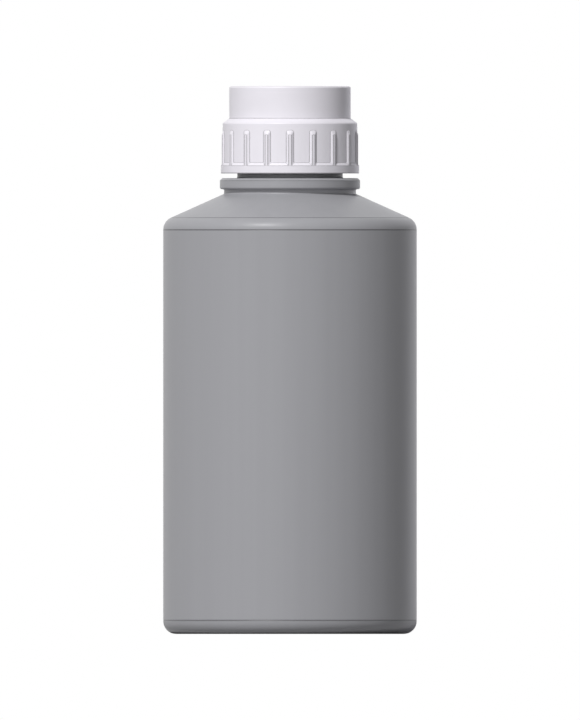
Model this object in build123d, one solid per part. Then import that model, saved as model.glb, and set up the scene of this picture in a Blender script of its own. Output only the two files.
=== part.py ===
from build123d import *
import os
from math import cos, radians, tan

# A one-litre centrifuge bottle: a blow-moulded bottle, and a closure of three pieces that screws on it.
# Millimetres, +Z up. The bottle's axis is Z and its standing face is at Z = 0.
# One rib of the cap faces -Y.

# ---- bottle: body and base ----
body_radius = 49.0
body_wall = 2.0
heel_round = 5.2
shoulder_height = 159.7         # where the wall and the cone above it would meet in a sharp corner
shoulder_slope = 24.2           # degrees above level
shoulder_round = 5.2
shoulder_wall = 2.3
base_wall = 2.6
push_up_height = 1.6            # the base is hollowed, so the bottle stands on a ring
standing_ring_width = 9.5       # from the wall in to the ring's inner edge
push_up_slope_width = 8.5
push_up_round = 6.0

# ---- bottle: support flange, neck and mouth ----
neck_radius = 20.4              # also the root of the thread
neck_wall = 2.4
neck_height = 23.1
lip_round = 0.5
throat_round = 6.0              # inside, where the neck opens into the shoulder
flange_width = 6.73             # from the neck out
flange_overhang = 1.67          # over the undercut below it
undercut_height = 1.8
flange_thickness = 4.3
flange_chamfer = 0.9
flange_under_round = 0.8
fillet_round = 0.5              # small inside corners of the bottle

# ---- thread, the same form on the neck and in the cap ----
thread_pitch = 4.0
thread_height = 1.85
thread_foot = 2.2
thread_crest = 1.0
thread_clearance = 0.5          # radial, crest to root
thread_seat_gap = 0.35          # axial, between the flanks that carry the load
thread_bite = 0.4               # how far a ridge is sunk into its wall
thread_run_out = 28.0           # degrees over which a ridge's end slopes to nothing
neck_thread_top_drop = 6.5      # from the lip down to the ridge's upper end
neck_thread_length = 7.5
cap_thread_rim_rise = 2.2       # from the cap's rim up to the ridge's lower end
cap_thread_length = 9.3

# ---- screw cap: outside ----
cap_rim_gap = 1.8               # from the flange up to the cap's rim
skirt_wall = 3.3                # outside the root of the thread
skirt_top_drop = 1.8            # from the lip to the corner where the skirt would meet its sloping top
skirt_top_round = 1.0
skirt_top_slope = 34.6          # degrees above level
boss_step = 2.55                # from the skirt in to the boss above it
boss_wall = 1.9
boss_top_round = 0.9
cap_top_wall = 2.4
band_height = 3.05              # the plain band at the rim, to the start of the slope above it
band_rise = 0.7                 # how far the band and the ribs' crests stand out from the skirt
band_slope_height = 1.1
rim_round = 0.25

# ---- screw cap: grip ribs, which taper from the skirt out to their crests ----
rib_count = 18
rib_foot_width = 3.0
rib_crest_width = 1.1
rib_crest_sink = 0.03           # the crests lie this much inside the band's surface
rib_top_drop = 2.75             # from the skirt's top corner to the rib's foot
rib_top_slope_drop = 1.75       # from there to its crest
rib_foot_corner = 1.0
rib_crest_corner = 0.3
rib_bite = 0.3                  # how far a rib is sunk into the skirt
rib_band_round = 0.55           # where a rib's sides run out into the band
rib_band_spread = 0.6           # how far that foot reaches to each side
rib_band_sink = 0.2             # how far it is sunk into the band's slope

# ---- screw cap: inside ----
bead_height = 1.4
snap_overlap = 0.3              # how far the bead reaches under the plug's flange
pressure_ring_offset = 1.6      # outside the bore of the mouth
pressure_ring_width = 2.0
tab_headroom = 2.0              # over the plug's web
cap_seat_gap = 0.3              # between the cap and the plug that it carries and presses
inner_round = 0.4

# ---- sealing plug and its ring ----
plug_flange_thickness = 2.2
plug_flange_clearance = 0.4
plug_clearance = 0.4            # radial, in the mouth
plug_depth = 10.5               # below the lip
plug_wall = 1.8
plug_lead_height = 2.5
plug_lead = 1.2
groove_depth = 0.3
groove_below_lip = 0.3
web_thickness = 2.4
web_tab_width = 22.0
web_tab_rise = 3.9              # above the plug's flange
web_tab_round = 3.0
web_step_drop = 1.5
web_bite = 0.6                  # how far the web runs into the plug's wall and floor
ring_width = 2.8
ring_squeezed_height = 2.0
ring_side_flat = 0.1            # what its rounded sides leave straight
ring_clearance = 0.05

# ---- heights and radii that follow ----
standing_ring_inner_radius = body_radius - standing_ring_width
push_up_radius = standing_ring_inner_radius - push_up_slope_width
flange_radius = neck_radius + flange_width
undercut_radius = flange_radius - flange_overhang
cone_top = shoulder_height + (body_radius - undercut_radius) * tan(radians(shoulder_slope))
flange_bottom = cone_top + undercut_height
flange_top = flange_bottom + flange_thickness
lip_top = flange_top + neck_height
mouth_radius = neck_radius - neck_wall

thread_flank = (thread_foot - thread_crest) / 2 / thread_height
thread_spacing = thread_crest + (thread_height - thread_clearance) * thread_flank + thread_seat_gap
neck_thread_top = lip_top - neck_thread_top_drop
cap_thread_root = neck_radius + thread_height + thread_clearance
cap_thread_crest = neck_radius + thread_clearance

cap_rim = flange_top + cap_rim_gap
skirt_corner = lip_top - skirt_top_drop
skirt_radius = cap_thread_root + skirt_wall
band_radius = skirt_radius + band_rise
boss_radius = skirt_radius - boss_step
boss_bore = boss_radius - boss_wall
boss_foot = skirt_corner + (skirt_radius - boss_radius) * tan(radians(skirt_top_slope))

plug_flange_bottom = lip_top + ring_squeezed_height
plug_flange_top = plug_flange_bottom + plug_flange_thickness
plug_flange_radius = boss_bore - plug_flange_clearance
plug_radius = mouth_radius - plug_clearance
plug_bottom = lip_top - plug_depth
cavity_radius = plug_radius - plug_wall
cavity_floor = plug_bottom + plug_wall
tab_top = plug_flange_top + web_tab_rise
cap_ceiling = tab_top + tab_headroom
cap_top = cap_ceiling + cap_top_wall


def turned(corners):
    """A solid of revolution about Z, from the (radius, height, round) of each corner of its section."""
    points = [(radius, height) for radius, height, _ in corners]
    rounds = [corner_round for _, _, corner_round in corners]
    with BuildPart() as solid:
        with BuildSketch(Plane.XZ):
            with BuildLine():
                FilletPolyline(*points, radius=rounds, close=True)
            make_face()
        revolve(axis=Axis.Z)
    return solid.part


def run_out_cutter(root, crest, angle, height, run_out):
    """A block whose face slopes a ridge's end from its crest, run_out degrees on, to its root."""
    foot = Vector(root, 0, height).rotate(Axis.Z, angle)
    top = Vector(crest, 0, height).rotate(Axis.Z, angle + run_out)
    side = Align.MIN if (crest > root) == (run_out < 0) else Align.MAX
    reach = 2 * (top - foot).length
    with BuildPart(Plane(foot, x_dir=top - foot, z_dir=(0, 0, 1))) as block:
        Box(reach, reach, thread_pitch - thread_foot / 2, align=(Align.CENTER, side, Align.CENTER))
    return block.part


def thread_ridge(root, crest, phase_height, low, high):
    """One helical ridge whose centre line is at phase_height + pitch * turns, cut from low to high."""
    start_angle = (low - phase_height) / thread_pitch * 360
    end_angle = (high - phase_height) / thread_pitch * 360
    outward = 1 if crest > root else -1
    path = Edge.make_helix(thread_pitch, high - low, root)
    foot_half = thread_foot / 2 + thread_bite * thread_flank
    section_plane = Plane(path @ 0, x_dir=(outward, 0, 0), z_dir=path % 0)
    with BuildPart() as ridge:
        with BuildSketch(section_plane):
            with BuildLine():
                Polyline((-thread_bite, -foot_half), (thread_height, -thread_crest / 2),
                         (thread_height, thread_crest / 2), (-thread_bite, foot_half), close=True)
            make_face()
        sweep(path=path, is_frenet=True)
    placed = ridge.part.moved(Location((0, 0, low), (0, 0, start_angle)))
    placed -= run_out_cutter(root, crest, start_angle, low, thread_run_out)
    placed -= run_out_cutter(root, crest, end_angle, high, -thread_run_out)
    return placed


def bottle():
    """The bottle with its hollow: outside from the base up to the lip, then inside back down."""
    slope = radians(shoulder_slope)
    inner_radius = body_radius - body_wall
    inner_cone_drop = shoulder_wall / cos(slope)
    throat_height = cone_top + (undercut_radius - mouth_radius) * tan(slope) - inner_cone_drop
    inner_shoulder = shoulder_height + body_wall * tan(slope) - inner_cone_drop
    vessel = turned([
        (0, push_up_height, 0),
        (push_up_radius, push_up_height, push_up_round),
        (standing_ring_inner_radius, 0, push_up_round),
        (body_radius, 0, heel_round),
        (body_radius, shoulder_height, shoulder_round),
        (undercut_radius, cone_top, fillet_round),
        (undercut_radius, flange_bottom, fillet_round),
        (flange_radius, flange_bottom, flange_under_round),
        (flange_radius, flange_top - flange_chamfer, 0),
        (flange_radius - flange_chamfer, flange_top, 0),
        (neck_radius, flange_top, fillet_round),
        (neck_radius, lip_top, lip_round),
        (mouth_radius, lip_top, lip_round),
        (mouth_radius, throat_height, throat_round),
        (inner_radius, inner_shoulder, shoulder_round),
        (inner_radius, base_wall, heel_round),
        (standing_ring_inner_radius, base_wall, push_up_round),
        (push_up_radius, push_up_height + base_wall, push_up_round),
        (0, push_up_height + base_wall, 0),
    ])
    return vessel + thread_ridge(neck_radius, neck_radius + thread_height, neck_thread_top,
                                 neck_thread_top - neck_thread_length, neck_thread_top)


def rib():
    """One grip rib, on the side of -Y: its outline shrinks on all sides but the foot as it stands out."""
    rib_radius = band_radius - rib_crest_sink
    foot_top = skirt_corner - cap_rim - rib_top_drop
    sections = []
    for share in (-rib_bite / (rib_radius - skirt_radius), 1):
        radius = skirt_radius + share * (rib_radius - skirt_radius)
        half_width = (rib_foot_width + share * (rib_crest_width - rib_foot_width)) / 2
        top = foot_top - share * rib_top_slope_drop
        corner = rib_foot_corner + share * (rib_crest_corner - rib_foot_corner)
        band_top = band_height + (1 - share) * band_slope_height - rib_band_sink
        foot_half = half_width + rib_band_spread
        low = band_height / 2       # inside the band
        with BuildSketch(Plane((0, -radius, cap_rim), x_dir=(1, 0, 0), z_dir=(0, -1, 0))) as outline:
            with BuildLine():
                FilletPolyline((-foot_half, low), (foot_half, low), (foot_half, band_top),
                               (half_width, band_top), (half_width, top), (-half_width, top),
                               (-half_width, band_top), (-foot_half, band_top),
                               radius=(0, 0, 0, rib_band_round, corner, corner, rib_band_round, 0),
                               close=True)
            make_face()
        sections.append(outline.sketch.face())
    return loft(sections, ruled=True)


def screw_cap():
    """The cap: skirt, band, boss, snap bead and pressure ring, and then its thread and its ribs."""
    roof_slope = tan(radians(skirt_top_slope))
    skirt_roof = skirt_corner - cap_top_wall + (skirt_radius - cap_thread_root) * roof_slope
    boss_roof = skirt_roof + (cap_thread_root - boss_bore) * roof_slope
    bead_top = plug_flange_bottom - cap_seat_gap
    bead_radius = plug_flange_radius - snap_overlap
    bead_reach = boss_bore - bead_radius
    pressure_ring_radius = mouth_radius + pressure_ring_offset
    ring_inner = pressure_ring_radius - pressure_ring_width
    ring_bottom = plug_flange_top + cap_seat_gap
    cap = turned([
        (0, cap_top, 0),
        (boss_radius, cap_top, boss_top_round),
        (boss_radius, boss_foot, 0),
        (skirt_radius, skirt_corner, skirt_top_round),
        (skirt_radius, cap_rim + band_height + band_slope_height, 0),
        (band_radius, cap_rim + band_height, 0),
        (band_radius, cap_rim, rim_round),
        (cap_thread_root, cap_rim, inner_round),
        (cap_thread_root, skirt_roof, inner_round),
        (boss_bore, boss_roof, inner_round),
        (boss_bore, bead_top - bead_height, 0),
        (bead_radius, bead_top - bead_height + bead_reach, 0),
        (bead_radius, bead_top, 0),
        (boss_bore, bead_top, 0),
        (boss_bore, cap_ceiling, inner_round),
        (pressure_ring_radius, cap_ceiling, inner_round),
        (pressure_ring_radius, ring_bottom, inner_round),
        (ring_inner, ring_bottom, inner_round),
        (ring_inner, cap_ceiling, inner_round),
        (0, cap_ceiling, 0),
    ])
    cap += [rib().rotate(Axis.Z, index * 360 / rib_count) for index in range(rib_count)]
    low = cap_rim + cap_thread_rim_rise
    return cap + thread_ridge(cap_thread_root, cap_thread_crest, neck_thread_top - thread_spacing,
                              low, low + cap_thread_length)


def sealing_plug():
    """The plug: a cup that hangs in the mouth by its flange, with a web across it to pull it by."""
    cup = turned([
        (0, plug_bottom, 0),
        (plug_radius - plug_lead, plug_bottom, inner_round),
        (plug_radius, plug_bottom + plug_lead_height, 0),
        (plug_radius, lip_top - groove_below_lip, 0),
        (plug_radius - groove_depth, lip_top - groove_below_lip, 0),
        (plug_radius - groove_depth, plug_flange_bottom, 0),
        (plug_flange_radius, plug_flange_bottom, 0),
        (plug_flange_radius, plug_flange_top, inner_round),
        (cavity_radius, plug_flange_top, inner_round),
        (cavity_radius, cavity_floor, plug_wall),
        (0, cavity_floor, 0),
    ])
    web_half = cavity_radius + web_bite
    web_foot = cavity_floor - web_bite
    web_step = plug_flange_top - web_step_drop
    tab_half = web_tab_width / 2
    with BuildPart() as web:
        with BuildSketch(Plane.XZ):
            with BuildLine():
                FilletPolyline((-web_half, web_foot), (-web_half, web_step), (-tab_half, web_step),
                               (-tab_half, tab_top), (tab_half, tab_top), (tab_half, web_step),
                               (web_half, web_step), (web_half, web_foot),
                               radius=(0, 0, inner_round, web_tab_round, web_tab_round, inner_round, 0, 0),
                               close=True)
            make_face()
        extrude(amount=web_thickness / 2, both=True)
    return cup + web.part


def o_ring():
    """The ring as it lies in use, squeezed between the lip and the plug's flange."""
    inner = plug_radius - groove_depth + ring_clearance
    bulge = (ring_squeezed_height - ring_side_flat) / 2
    return turned([
        (inner, lip_top, bulge),
        (inner + ring_width, lip_top, bulge),
        (inner + ring_width, plug_flange_bottom, bulge),
        (inner, plug_flange_bottom, bulge),
    ])


os.makedirs("parts", exist_ok=True)
export_step(bottle(), "parts/bottle.step")
export_step(screw_cap(), "parts/screw_cap.step")
export_step(sealing_plug(), "parts/sealing_plug.step")
export_step(o_ring(), "parts/o_ring.step")
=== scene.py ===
import bpy
from math import cos, hypot, pi, radians, sin, tan
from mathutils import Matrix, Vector


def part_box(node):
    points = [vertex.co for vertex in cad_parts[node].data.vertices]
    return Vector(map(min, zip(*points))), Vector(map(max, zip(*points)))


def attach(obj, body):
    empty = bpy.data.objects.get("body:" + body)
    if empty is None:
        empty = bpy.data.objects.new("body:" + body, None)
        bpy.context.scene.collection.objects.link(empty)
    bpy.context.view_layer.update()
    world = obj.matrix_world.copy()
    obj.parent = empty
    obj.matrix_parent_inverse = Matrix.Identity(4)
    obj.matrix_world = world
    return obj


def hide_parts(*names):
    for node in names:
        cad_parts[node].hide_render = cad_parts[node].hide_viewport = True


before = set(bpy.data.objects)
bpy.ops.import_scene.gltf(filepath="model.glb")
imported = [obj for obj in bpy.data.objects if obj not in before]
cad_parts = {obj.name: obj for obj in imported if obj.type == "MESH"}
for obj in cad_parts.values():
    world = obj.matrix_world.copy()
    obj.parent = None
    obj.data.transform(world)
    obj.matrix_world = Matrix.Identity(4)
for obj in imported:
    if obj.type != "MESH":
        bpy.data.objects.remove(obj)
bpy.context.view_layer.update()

# ---------------------------------------------------------------------------
# Camera: level with the bottle and square on to the rib of the cap that faces
# -Y, with no perspective, as a product drawing shows it.
# ---------------------------------------------------------------------------
view_height = 0.2786             # metres that the frame's long side takes in
view_middle_height = 0.1060
camera_distance = 1.2

bpy.ops.object.camera_add(location=(0, -camera_distance, view_middle_height), rotation=(radians(90), 0, 0))
camera = bpy.context.object
camera.name = "camera"
camera.data.type = "ORTHO"
camera.data.ortho_scale = view_height
bpy.context.scene.camera = camera

# ---------------------------------------------------------------------------
# The bottle: polypropylene coloured grey, extrusion blow-moulded between two
# halves, a base insert and a shoulder ring. The halves leave a fine raised line
# down each side and a pinched weld under the base, the others witness lines.
# ---------------------------------------------------------------------------
mm = 0.001
near = 0.01 * mm                 # two places closer than this are one
_, bottle_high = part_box("bottle")
body_radius = bottle_high.x
lip_top = bottle_high.z
body_wall = 2.0 * mm
heel_round = 5.0 * mm
base_wall = 2.6 * mm
push_up_height = 1.6 * mm
standing_ring_radius = body_radius - 9.5 * mm
push_up_radius = standing_ring_radius - 8.5 * mm
push_up_round = 6.0 * mm
shoulder_slope = radians(24.2)
shoulder_round = 4.8 * mm
shoulder_wall = 2.3 * mm

neck_radius = 20.4 * mm
mouth_radius = neck_radius - 2.4 * mm
flange_radius = neck_radius + 6.73 * mm
undercut_radius = flange_radius - 1.67 * mm
flange_top = lip_top - 23.1 * mm
flange_bottom = flange_top - 4.3 * mm
flange_chamfer = 0.9 * mm
flange_under_round = 0.8 * mm
inside_corner_round = 0.5 * mm
edge_round = 0.2 * mm            # what a polished mould leaves on a sharp edge
throat_round = 6.0 * mm

cone_top = flange_bottom - 1.8 * mm
cone_foot = cone_top - (body_radius - undercut_radius) * tan(shoulder_slope)
cone_wall_drop = shoulder_wall / cos(shoulder_slope)
throat_height = cone_top + (undercut_radius - mouth_radius) * tan(shoulder_slope) - cone_wall_drop
inner_shoulder = cone_foot + body_wall * tan(shoulder_slope) - cone_wall_drop

# Witness lines lie where the base insert, and both ends of the ring that forms the shoulder's round, meet
# the mould's halves.
witness_half_width = 0.2 * mm
witness_depth = 0.07 * mm
witness_gap = 0.25 * mm          # from the middle of a line to the end of the round beside it
base_witness_height = heel_round + witness_gap
round_end = shoulder_round * tan((pi / 2 - shoulder_slope) / 2) + witness_gap    # from the round's own corner
shoulder_witness_height = cone_foot - round_end
cone_witness_radius = body_radius - round_end * cos(shoulder_slope)
cone_witness_height = cone_foot + round_end * sin(shoulder_slope)

sides = 192                      # flats round a turned piece: each strays under 0.01 mm from its circle
round_segments = 8


def select_only(piece, kind, wanted):
    """In edit mode, only the piece's vertices, edges or polygons that pass the test are selected."""
    bpy.ops.object.mode_set(mode="EDIT")
    bpy.ops.mesh.select_mode(type={"vertices": "VERT", "edges": "EDGE", "polygons": "FACE"}[kind])
    bpy.ops.mesh.select_all(action="DESELECT")
    bpy.ops.object.mode_set(mode="OBJECT")
    for element in getattr(piece.data, kind):
        element.select = wanted(element)
    bpy.ops.object.mode_set(mode="EDIT")


def apply_modifier(piece, kind, **settings):
    """A modifier is added with its settings and applied."""
    bpy.ops.object.select_all(action="DESELECT")
    bpy.context.view_layer.objects.active = piece
    bpy.ops.object.modifier_add(type=kind)
    modifier = piece.modifiers[-1]
    for name, value in settings.items():
        setattr(modifier, name, value)
    bpy.ops.object.modifier_apply(modifier=modifier.name)


def turned_shell(name, corners):
    """A closed wall turned about Z through the (radius, height, round) of each corner of its section."""
    bpy.ops.object.select_all(action="DESELECT")
    radius, height, _ = corners[0]
    bpy.ops.mesh.primitive_circle_add(vertices=sides, radius=radius, location=(0, 0, height),
                                      fill_type="NGON")
    shell = bpy.context.object
    shell.name = name
    bpy.ops.object.transform_apply(location=True)
    bpy.ops.object.mode_set(mode="EDIT")
    for next_radius, next_height, _ in corners[1:]:
        bpy.ops.mesh.extrude_region_move(TRANSFORM_OT_translate={"value": (0, 0, next_height - height)})
        growth = next_radius / radius
        bpy.ops.transform.resize(value=(growth, growth, 1), center_override=(0, 0, 0))
        radius, height = next_radius, next_height
    bpy.ops.mesh.select_all(action="SELECT")
    bpy.ops.mesh.normals_make_consistent(inside=False)
    bpy.ops.object.mode_set(mode="OBJECT")

    # A round of radius r on a corner that turns by an angle starts r * tan(angle / 2) from the corner.
    widths = []
    section = [(0, corners[0][1], 0)] + corners + [(0, corners[-1][1], 0)]
    for before, corner, after in zip(section, section[1:], section[2:]):
        came = Vector((corner[0] - before[0], corner[1] - before[1]))
        goes = Vector((after[0] - corner[0], after[1] - corner[1]))
        if corner[2]:
            widths.append((corner[0], corner[1], corner[2] * tan(came.angle(goes) / 2)))
    widest = max(width for _, _, width in widths)
    weights = shell.data.attributes.new("bevel_weight_edge", "FLOAT", "EDGE")
    for edge in shell.data.edges:
        ends = [shell.data.vertices[index].co for index in edge.vertices]
        for radius, height, width in widths:
            if all(abs(hypot(end.x, end.y) - radius) < near and abs(end.z - height) < near for end in ends):
                weights.data[edge.index].value = width / widest
    apply_modifier(shell, "BEVEL", width=widest, limit_method="WEIGHT", segments=round_segments,
                   use_clamp_overlap=False)
    return shell


def witness_line(radius, height, lean=0):
    """The three corners of a fine groove round a wall that leans inwards by an angle."""
    across, up = witness_half_width * sin(lean), witness_half_width * cos(lean)
    return [(radius + across, height - up, 0),
            (radius - witness_depth * cos(lean), height - witness_depth * sin(lean), 0),
            (radius - across, height + up, 0)]


bottle = turned_shell("blown_bottle", [
    (push_up_radius, push_up_height, push_up_round),
    (standing_ring_radius, 0, push_up_round),
    (body_radius, 0, heel_round),
    *witness_line(body_radius, base_witness_height),
    *witness_line(body_radius, shoulder_witness_height),
    (body_radius, cone_foot, shoulder_round),
    *witness_line(cone_witness_radius, cone_witness_height, pi / 2 - shoulder_slope),
    (undercut_radius, cone_top, inside_corner_round),
    (undercut_radius, flange_bottom, inside_corner_round),
    (flange_radius, flange_bottom, flange_under_round),
    (flange_radius, flange_top - flange_chamfer, edge_round),
    (flange_radius - flange_chamfer, flange_top, edge_round),
    (neck_radius, flange_top, inside_corner_round),
    (neck_radius, lip_top, inside_corner_round),
    (mouth_radius, lip_top, inside_corner_round),
    (mouth_radius, throat_height, throat_round),
    (body_radius - body_wall, inner_shoulder, shoulder_round),
    (body_radius - body_wall, base_wall, heel_round),
    (standing_ring_radius, base_wall, push_up_round),
    (push_up_radius, push_up_height + base_wall, push_up_round),
])

# The parting line of the mould's halves, on both sides, from the heel to the flange. The outside is cut along
# it three times, and the middle cut is raised.
parting_half_width = 0.3 * mm
parting_height = 0.05 * mm
least_outward = 0.3              # the share of an outer face's normal that points away from the axis


def looks_outward(place, normal):
    """Whether a face or a corner of a turned piece is on its outside."""
    return place.x * normal.x + place.y * normal.y > least_outward * hypot(place.x, place.y)


for side in (-parting_half_width, 0, parting_half_width):
    select_only(bottle, "polygons", lambda face: looks_outward(face.center, face.normal)
                and face.center.z < flange_top)
    bpy.ops.mesh.bisect(plane_co=(0, side, 0), plane_no=(0, 1, 0))
select_only(bottle, "vertices", lambda corner: looks_outward(corner.co, corner.normal)
            and abs(corner.co.y) < near and corner.co.z < flange_bottom
            and abs(corner.co.x) > undercut_radius - near)
bpy.ops.transform.shrink_fatten(value=parting_height)

# The weld that the halves pinch across the base, in the same plane.
weld_half_width = 0.6 * mm
weld_height = 0.45 * mm
weld_crest_share = (0.97, 0.5, 1)        # the crest's length and width beside the foot's
base_middle = push_up_radius * 2 / 3     # the centre of each half of the base's flat lies within this
upright = 0.99                           # how straight down a level face's normal points


def in_base_flat(face):
    """Whether a face is part of the flat middle of the base, seen from below."""
    return face.normal.z < -upright and face.center.xy.length < base_middle


for side in (-weld_half_width, weld_half_width):
    select_only(bottle, "polygons", in_base_flat)
    bpy.ops.mesh.bisect(plane_co=(0, side, 0), plane_no=(0, 1, 0))
select_only(bottle, "polygons", lambda face: in_base_flat(face) and abs(face.center.y) < weld_half_width)
bpy.ops.mesh.extrude_region_move(TRANSFORM_OT_translate={"value": (0, 0, -weld_height)})
bpy.ops.transform.resize(value=weld_crest_share, center_override=(0, 0, 0))
bpy.ops.object.mode_set(mode="OBJECT")

# The thread: one ridge of trapezoid section that runs out to nothing at both ends.
thread_pitch = 4.0 * mm
thread_height = 1.85 * mm
thread_foot = 2.2 * mm
thread_crest = 1.0 * mm
thread_clearance = 0.5 * mm      # from a crest to the root that it faces
thread_seat_gap = 0.35 * mm      # between the flanks that carry the load
thread_bite = 0.4 * mm           # how far the ridge is sunk into its wall
step_angle = radians(4)
run_out_steps = 7
thread_flank = (thread_foot - thread_crest) / 2 / thread_height
neck_thread_top = lip_top - 6.5 * mm
neck_thread_length = 7.5 * mm


def thread_ridge(name, root, crest, phase_height, low, high):
    """A helical ridge whose centre line is at phase_height + pitch * turns, from low to high."""
    outward = 1 if crest > root else -1
    middle = root + outward * (thread_height - thread_bite) / 2
    bpy.ops.object.select_all(action="DESELECT")
    bpy.ops.mesh.primitive_plane_add(size=1, location=(middle, 0, low), rotation=(radians(90), 0, 0))
    ridge = bpy.context.object
    ridge.name = name
    bpy.ops.object.transform_apply(location=True, rotation=True)
    foot = thread_foot + 2 * thread_bite * thread_flank
    bpy.ops.object.mode_set(mode="EDIT")
    bpy.ops.transform.resize(value=(thread_height + thread_bite, 1, foot), center_override=(middle, 0, low))
    select_only(ridge, "vertices", lambda corner: (corner.co.x - middle) * outward > 0)
    bpy.ops.transform.resize(value=(1, 1, thread_crest / foot), center_override=(crest, 0, low))
    bpy.ops.object.mode_set(mode="OBJECT")
    ridge.rotation_euler = (0, 0, (low - phase_height) / thread_pitch * 2 * pi)
    bpy.ops.object.transform_apply(rotation=True)

    turn = (high - low) / thread_pitch * 2 * pi
    steps = round(turn / step_angle)
    apply_modifier(ridge, "SCREW", angle=turn, screw_offset=high - low, steps=steps, render_steps=steps)

    # Towards both ends the crest sinks to the root in steps.
    crest_middle = (root + crest) / 2
    for step in range(run_out_steps):
        shrink = (root + (crest - root) * step / run_out_steps) / crest
        for section in (step, steps - step):
            height = low + (high - low) * section / steps
            angle = (height - phase_height) / thread_pitch * 2 * pi

            def in_crest(corner):
                """Whether a corner of the ridge lies in this section's plane, on its crest."""
                away = corner.co.x * cos(angle) + corner.co.y * sin(angle)
                aside = corner.co.x * sin(angle) - corner.co.y * cos(angle)
                return (away > 0 and (away - crest_middle) * outward > 0 and abs(aside) < near
                        and abs(corner.co.z - height) < thread_pitch / 2)

            select_only(ridge, "vertices", in_crest)
            bpy.ops.transform.resize(value=(shrink, shrink, 1), center_override=(0, 0, 0))
    bpy.ops.mesh.select_all(action="SELECT")
    bpy.ops.mesh.fill_holes(sides=4)
    bpy.ops.mesh.normals_make_consistent(inside=False)
    bpy.ops.object.mode_set(mode="OBJECT")
    return ridge


def weld_on(piece, added):
    """The added piece becomes one closed body with the first."""
    apply_modifier(piece, "BOOLEAN", operation="UNION", solver="EXACT", object=added)
    bpy.data.objects.remove(added)


weld_on(bottle, thread_ridge("neck_thread", neck_radius, neck_radius + thread_height, neck_thread_top,
                             neck_thread_top - neck_thread_length, neck_thread_top))


smooth_up_to = radians(15)       # less than the turn at a witness line or a rib's sloping top


def smooth(piece):
    """Rounds are shaded as rounds and edges stay edges, with flat faces kept flat beside them."""
    bpy.ops.object.select_all(action="DESELECT")
    piece.select_set(True)
    bpy.context.view_layer.objects.active = piece
    bpy.ops.object.shade_smooth_by_angle(angle=smooth_up_to)
    apply_modifier(piece, "WEIGHTED_NORMAL", keep_sharp=True)


smooth(bottle)


def linear(hex_colour):
    """An sRGB hex colour as linear RGBA."""
    channels = [int(hex_colour[i:i + 2], 16) / 255 for i in (0, 2, 4)]
    return [c / 12.92 if c <= 0.04045 else ((c + 0.055) / 1.055) ** 2.4 for c in channels] + [1.0]


def add_node(tree, kind, settings=None, links=None):
    """A node in a tree, with its settings, and links into it from other nodes' outputs. An input goes by its
    name, or by its number where two share one."""
    node = tree.nodes.new(kind)
    inputs = {}
    for name, value in (settings or {}).items():
        if hasattr(node, str(name)):
            setattr(node, name, value)
        else:
            inputs[name] = value
    sockets = {socket.name: socket for socket in reversed(node.inputs) if socket.enabled}
    sockets.update(enumerate(node.inputs))
    for name, value in inputs.items():
        sockets[name].default_value = value
    for name, source in (links or {}).items():
        tree.links.new(source, sockets[name])
    return node


def tinted(hex_colour, share):
    """A colour darkened or lightened in linear light."""
    return [min(1.0, channel * share) for channel in linear(hex_colour)[:3]] + [1.0]


plastic_ior = 1.49
plastic_gloss_level = 0.25       # half the usual 0.5, for a skin that the mould's texture dulls
mixed_colour = 2                 # the colour's number among a Mix node's outputs
drift_share = 0.04               # how much lighter and darker the colour drifts
gloss_spread = 0.04              # how much rougher and smoother the grain's hills and dips are
painted_shade_width = 0.6 * mm            # how far from an edge or a crease the painted shade goes
painted_shade_share = 0.45                # the painted shade's light beside the unshaded colour's
full_shade_turn = 0.985                # the painted shade is full where the surface turns by this cosine within its width
no_shade_turn = 0.9993              # and ends at this one


def moulded_plastic(name, hex_colour, roughness, grain_width, grain_depth, drift_sizes):
    """A moulded plastic or rubber. Its colour drifts a little along the flow, the mould's texture breaks up
    its gloss, and painted shade darkens its colour along its edges and creases."""
    material = bpy.data.materials.new(name)
    material.use_nodes = True
    tree = material.node_tree
    shader = tree.nodes["Principled BSDF"]
    shader.inputs["IOR"].default_value = plastic_ior
    shader.inputs["Specular IOR Level"].default_value = plastic_gloss_level
    place = add_node(tree, "ShaderNodeTexCoord").outputs["Object"]

    flow = add_node(tree, "ShaderNodeMapping", {"Scale": [1 / size for size in drift_sizes]},
                    {"Vector": place})
    drift = add_node(tree, "ShaderNodeTexNoise", {"Scale": 1.0, "Detail": 2.0},
                     {"Vector": flow.outputs["Vector"]})
    drifted = add_node(tree, "ShaderNodeMix", {"data_type": "RGBA", "A": tinted(hex_colour, 1 - drift_share),
                                               "B": tinted(hex_colour, 1 + drift_share)},
                       {"Factor": drift.outputs["Fac"]})

    # Painted shade: the colour is darkened where the surface turns within a short reach, in creases and along
    # edges alike.
    rounded = add_node(tree, "ShaderNodeBevel", {"samples": 16, "Radius": painted_shade_width})
    geometry = add_node(tree, "ShaderNodeNewGeometry")
    turn = add_node(tree, "ShaderNodeVectorMath", {"operation": "DOT_PRODUCT"},
                    {0: rounded.outputs["Normal"], 1: geometry.outputs["Normal"]})
    unshaded = add_node(tree, "ShaderNodeMapRange", {"From Min": full_shade_turn, "From Max": no_shade_turn},
                     {"Value": turn.outputs["Value"]})
    edge_shaded = add_node(tree, "ShaderNodeMix", {"data_type": "RGBA", "A": tinted(hex_colour, painted_shade_share)},
                    {"Factor": unshaded.outputs["Result"], "B": drifted.outputs[mixed_colour]})
    tree.links.new(edge_shaded.outputs[mixed_colour], shader.inputs["Base Color"])

    grain = add_node(tree, "ShaderNodeTexNoise", {"Scale": 1 / grain_width, "Detail": 3.0}, {"Vector": place})
    gloss = add_node(tree, "ShaderNodeMapRange",
                     {"To Min": roughness - gloss_spread, "To Max": roughness + gloss_spread},
                     {"Value": grain.outputs["Fac"]})
    tree.links.new(gloss.outputs["Result"], shader.inputs["Roughness"])
    relief = add_node(tree, "ShaderNodeBump", {"Distance": grain_depth, "Strength": 0.6},
                      {"Height": grain.outputs["Fac"]})
    tree.links.new(relief.outputs["Normal"], shader.inputs["Normal"])
    return material


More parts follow.
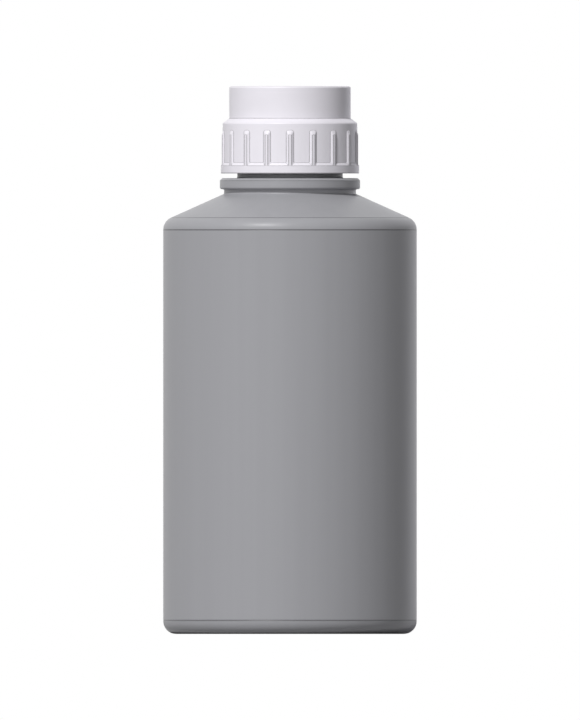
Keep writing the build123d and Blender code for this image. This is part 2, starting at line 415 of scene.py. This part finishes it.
# Polypropylene blown against a fine-blasted mould is satin and even. The die that extrudes the tube leaves
# faint streaks along it, a few millimetres wide. The blasting's own grain is about 0.1 mm and too fine to
# show, so it is drawn at 0.9 mm.
grey_polypropylene = moulded_plastic(
    "grey_blow_moulded_polypropylene", "9e9ea2", roughness=0.38, grain_width=0.9 * mm, grain_depth=0.02 * mm,
    drift_sizes=(5 * mm, 5 * mm, 400 * mm))
bottle.data.materials.append(grey_polypropylene)
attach(bottle, "bottle")
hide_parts("bottle")

# ---------------------------------------------------------------------------
# The plug and its ring: the plug is injection-moulded from natural polypropylene,
# and an O-ring of black rubber is squeezed between its flange and the lip.
# ---------------------------------------------------------------------------
# Polypropylene with no pigment, from a polished mould, is a milky, faintly green white with a soft gloss and
# clouds of a few millimetres in it. The polish's grain is drawn at 0.6 mm, because it is too fine to show.
natural_polypropylene = moulded_plastic(
    "natural_polypropylene", "dcdedc", roughness=0.4, grain_width=0.6 * mm, grain_depth=0.006 * mm,
    drift_sizes=(9 * mm, 9 * mm, 9 * mm))

# Moulded rubber is a flat black, and only a dull sheen shows its round. Its grain of some hundredths of a
# millimetre is drawn at 0.3 mm so that it shows.
black_rubber = moulded_plastic(
    "black_moulded_rubber", "1c1c1e", roughness=0.6, grain_width=0.3 * mm, grain_depth=0.005 * mm,
    drift_sizes=(4 * mm, 4 * mm, 4 * mm))

for node, material in (("sealing_plug", natural_polypropylene), ("o_ring", black_rubber)):
    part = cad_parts[node]
    part.data.materials.clear()
    part.data.materials.append(material)

# ---------------------------------------------------------------------------
# The cap: white polypropylene, injection-moulded. Eighteen ribs give the hand a
# grip, a bead inside snaps over the plug's flange, and the gate leaves a mark on
# the middle of the top.
# ---------------------------------------------------------------------------
cap_low, cap_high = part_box("screw_cap")
_, plug_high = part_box("sealing_plug")
rim = cap_low.z
cap_top = cap_high.z
band_radius = cap_high.x
skirt_radius = band_radius - 0.7 * mm
boss_radius = skirt_radius - 2.55 * mm
band_top = rim + 3.05 * mm
band_slope_height = 1.1 * mm
skirt_corner = lip_top - 1.8 * mm
skirt_top_slope = radians(34.6)
skirt_top_round = 1.0 * mm
boss_foot = skirt_corner + (skirt_radius - boss_radius) * tan(skirt_top_slope)
boss_top_round = 0.9 * mm
rim_round = 0.25 * mm
cap_top_wall = 2.4 * mm
ceiling = cap_top - cap_top_wall
boss_bore = boss_radius - 1.9 * mm
cap_thread_root = neck_radius + thread_height + thread_clearance
skirt_roof = skirt_corner - cap_top_wall + (skirt_radius - cap_thread_root) * tan(skirt_top_slope)
boss_roof = skirt_roof + (cap_thread_root - boss_bore) * tan(skirt_top_slope)
plug_flange_bottom = lip_top + 2.0 * mm
plug_flange_top = plug_flange_bottom + 2.2 * mm
cap_seat_gap = 0.3 * mm
bead_top = plug_flange_bottom - cap_seat_gap
bead_low = bead_top - 1.4 * mm
bead_radius = plug_high.x - 0.3 * mm
pressure_ring_radius = mouth_radius + 1.6 * mm
pressure_ring_inner = pressure_ring_radius - 2.0 * mm
pressure_ring_low = plug_flange_top + cap_seat_gap
inner_round = 0.4 * mm
gate_nub_radius = 0.7 * mm
gate_nub_drop = 0.05 * mm
gate_dimple_radius = 2.6 * mm
gate_dimple_depth = 0.35 * mm

cap = turned_shell("ribbed_cap", [
    (gate_nub_radius, cap_top - gate_nub_drop, edge_round / 2),
    (gate_nub_radius, cap_top - gate_dimple_depth, 0),
    (gate_dimple_radius, cap_top - gate_dimple_depth, edge_round),
    (gate_dimple_radius + gate_dimple_depth, cap_top, edge_round),
    (boss_radius, cap_top, boss_top_round),
    (boss_radius, boss_foot, edge_round),
    (skirt_radius, skirt_corner, skirt_top_round),
    (skirt_radius, band_top + band_slope_height, edge_round),
    (band_radius, band_top, edge_round),
    (band_radius, rim, rim_round),
    (cap_thread_root, rim, inner_round),
    (cap_thread_root, skirt_roof, inner_round),
    (boss_bore, boss_roof, inner_round),
    (boss_bore, bead_low, edge_round),
    (bead_radius, bead_low + boss_bore - bead_radius, edge_round),
    (bead_radius, bead_top, edge_round),
    (boss_bore, bead_top, 0),
    (boss_bore, ceiling, inner_round),
    (pressure_ring_radius, ceiling, inner_round),
    (pressure_ring_radius, pressure_ring_low, inner_round),
    (pressure_ring_inner, pressure_ring_low, inner_round),
    (pressure_ring_inner, ceiling, inner_round),
])

# One rib is lofted between its outline on the skirt and the smaller one of its crest, and copied round.
rib_count = 18
rib_crest_radius = band_radius - 0.03 * mm
rib_bite = 0.3 * mm              # how far the rib is sunk into the skirt
rib_foot_half_width = 1.4 * mm
rib_crest_half_width = 0.55 * mm
rib_foot_top = skirt_corner - 2.75 * mm
rib_top_slope_drop = 1.75 * mm
rib_foot_round = 1.0 * mm
rib_crest_round = 0.3 * mm
rib_band_round = 0.55 * mm       # where its sides run out into the band
rib_band_spread = 0.6 * mm       # how far that foot reaches to each side
rib_band_sink = 0.2 * mm         # and how far it is sunk into the band's slope
corner_segments = 8


def outline_in_edit_mode(piece, depth, corners):
    """A loop of edges is added to the piece at y = -depth, from the (x, z, round) of its corners."""
    bpy.ops.mesh.select_all(action="DESELECT")
    bpy.ops.mesh.primitive_plane_add(size=mm)
    bpy.ops.mesh.merge(type="CENTER")
    bpy.ops.transform.translate(value=(corners[0][0], -depth, corners[0][1]))
    for (x, z, _), (next_x, next_z, _) in zip(corners, corners[1:]):
        bpy.ops.mesh.extrude_region_move(TRANSFORM_OT_translate={"value": (next_x - x, 0, next_z - z)})
    select_only(piece, "vertices", lambda v: abs(v.co.y + depth) < near)
    bpy.ops.mesh.edge_face_add()
    bpy.ops.mesh.delete(type="ONLY_FACE")
    for before, corner, after in zip(corners[-1:] + corners, corners, corners[1:] + corners[:1]):
        came = Vector((corner[0] - before[0], corner[1] - before[1]))
        goes = Vector((after[0] - corner[0], after[1] - corner[1]))
        if corner[2]:
            place = Vector((corner[0], -depth, corner[1]))
            select_only(piece, "vertices", lambda v: (v.co - place).length < near)
            bpy.ops.mesh.bevel(offset=corner[2] * tan(came.angle(goes) / 2), offset_type="OFFSET",
                               segments=corner_segments, affect="VERTICES", clamp_overlap=False)


bpy.ops.object.select_all(action="DESELECT")
bpy.ops.mesh.primitive_plane_add(size=mm)
rib = bpy.context.object
rib.name = "rib"
bpy.ops.object.mode_set(mode="EDIT")
bpy.ops.mesh.delete(type="VERT")
rib_stand = rib_crest_radius - skirt_radius
for share in (-rib_bite / rib_stand, 1):
    half_width = rib_foot_half_width + share * (rib_crest_half_width - rib_foot_half_width)
    top = rib_foot_top - share * rib_top_slope_drop
    top_round = rib_foot_round + share * (rib_crest_round - rib_foot_round)
    foot_top = band_top + (1 - share) * band_slope_height - rib_band_sink
    foot_half = half_width + rib_band_spread
    foot_low = (rim + band_top) / 2
    outline_in_edit_mode(rib, skirt_radius + share * rib_stand, [
        (-foot_half, foot_low, 0), (foot_half, foot_low, 0), (foot_half, foot_top, 0),
        (half_width, foot_top, rib_band_round), (half_width, top, top_round),
        (-half_width, top, top_round), (-half_width, foot_top, rib_band_round), (-foot_half, foot_top, 0),
    ])
bpy.ops.mesh.select_all(action="SELECT")
bpy.ops.mesh.bridge_edge_loops()
bpy.ops.mesh.select_all(action="SELECT")
bpy.ops.mesh.fill_holes(sides=0)
bpy.ops.mesh.select_all(action="SELECT")
bpy.ops.mesh.normals_make_consistent(inside=False)
bpy.ops.object.mode_set(mode="OBJECT")

ribs = []
for index in range(rib_count):
    copy = rib.copy()
    copy.data = rib.data.copy()
    bpy.context.collection.objects.link(copy)
    copy.rotation_euler.z = index * 2 * pi / rib_count
    ribs.append(copy)
bpy.data.objects.remove(rib)
bpy.ops.object.select_all(action="DESELECT")
for copy in ribs:
    copy.select_set(True)
bpy.context.view_layer.objects.active = ribs[0]
bpy.ops.object.join()
bpy.ops.object.transform_apply(rotation=True)
weld_on(cap, ribs[0])

# The cap's thread lies under the neck's, with a gap between the flanks that carry the load.
cap_thread_low = rim + 2.2 * mm
cap_thread_length = 9.3 * mm
thread_spacing = thread_crest + (thread_height - thread_clearance) * thread_flank + thread_seat_gap
weld_on(cap, thread_ridge("cap_thread", cap_thread_root, cap_thread_root - thread_height,
                          neck_thread_top - thread_spacing, cap_thread_low,
                          cap_thread_low + cap_thread_length))
smooth(cap)

# White polypropylene from a finely textured mould has an even, faintly lilac white and a soft gloss, and
# painted shade darkens the ribs' feet and edges. The texture, near 0.05 mm, is drawn at 0.5 mm so that it
# shows.
white_polypropylene = moulded_plastic(
    "white_injection_moulded_polypropylene", "e9e6ed", roughness=0.38, grain_width=0.5 * mm,
    grain_depth=0.012 * mm, drift_sizes=(14 * mm, 14 * mm, 14 * mm))
cap.data.materials.append(white_polypropylene)
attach(cap, "cap")
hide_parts("screw_cap")

# ---------------------------------------------------------------------------
# Light: a key lamp high on the left in front, two wide soft lamps low in front
# and behind, and dim walls all round, at a level at which a colour shows about
# as it is written. What is seen past the floor is white.
# ---------------------------------------------------------------------------


def lamp(name, azimuth, elevation, strength, width, hex_colour="ffffff"):
    """A distant lamp of a width in degrees, placed by the azimuth and elevation from which it shines."""
    a, e = radians(azimuth), radians(elevation)
    towards = Vector((sin(a) * cos(e), -cos(a) * cos(e), sin(e)))
    bpy.ops.object.light_add(type="SUN", location=towards,
                             rotation=towards.to_track_quat("Z", "Y").to_euler())
    light = bpy.context.object
    light.name = name
    light.data.energy = strength
    light.data.angle = radians(width)
    light.data.color = linear(hex_colour)[:3]
    return light


lamp("key_lamp", azimuth=-28, elevation=44, strength=2.72, width=8)
front_fill = lamp("front_fill_lamp", azimuth=-15, elevation=2, strength=0.8, width=30)
back_fill = lamp("back_fill_lamp", azimuth=150, elevation=8, strength=1.6, width=20, hex_colour="f4f4ff")
for fill in (front_fill, back_fill):
    fill.visible_glossy = False      # a soft light leaves no glint of its own

world = bpy.data.worlds.new("studio")
bpy.context.scene.world = world
world.use_nodes = True
tree = world.node_tree
tree.nodes.clear()


def seen_directly(tree):
    """1 for what the camera sees, straight or by way of a gloss or a clear piece, and 0 for what lights
    things."""
    ray = add_node(tree, "ShaderNodeLightPath")
    seen = ray.outputs["Is Camera Ray"]
    for name in ("Is Glossy Ray", "Is Transmission Ray"):
        larger = add_node(tree, "ShaderNodeMath", {"operation": "MAXIMUM"}, {0: seen, 1: ray.outputs[name]})
        seen = larger.outputs[0]
    return seen


white = linear("ffffff")
walls = add_node(tree, "ShaderNodeBackground", {"Color": white, "Strength": 0.1})
backdrop = add_node(tree, "ShaderNodeBackground", {"Color": white, "Strength": 1.0})
mix = add_node(tree, "ShaderNodeMixShader", links={0: seen_directly(tree), 1: walls.outputs[0],
                                                   2: backdrop.outputs[0]})
add_node(tree, "ShaderNodeOutputWorld", links={"Surface": mix.outputs[0]})

# ---------------------------------------------------------------------------
# Floor: one large sheet of painted board that the bottle stands on. It is no
# part of the bottle.
# ---------------------------------------------------------------------------
floor_size = 4.0
bpy.ops.object.select_all(action="DESELECT")
bpy.ops.mesh.primitive_plane_add(size=floor_size)
floor = bpy.context.object
floor.name = "floor"

# Matt white paint has no gloss and an even tone, on which the shadow lies soft. It lights the bottle only as
# much as a mid grey does, so that its heel stays darker than its wall.
board_as_seen = "f4f4f4"
board_as_it_lights = "8c8c8c"
pale_board = bpy.data.materials.new("matt_white_board")
pale_board.use_nodes = True
tree = pale_board.node_tree
board = tree.nodes["Principled BSDF"]
board.inputs["Roughness"].default_value = 0.9
colour = add_node(tree, "ShaderNodeMix", {"data_type": "RGBA", "A": linear(board_as_it_lights),
                                          "B": linear(board_as_seen)}, {"Factor": seen_directly(tree)})
tree.links.new(colour.outputs[mixed_colour], board.inputs["Base Color"])
floor.data.materials.append(pale_board)

bpy.context.scene.view_settings.view_transform = "Standard"
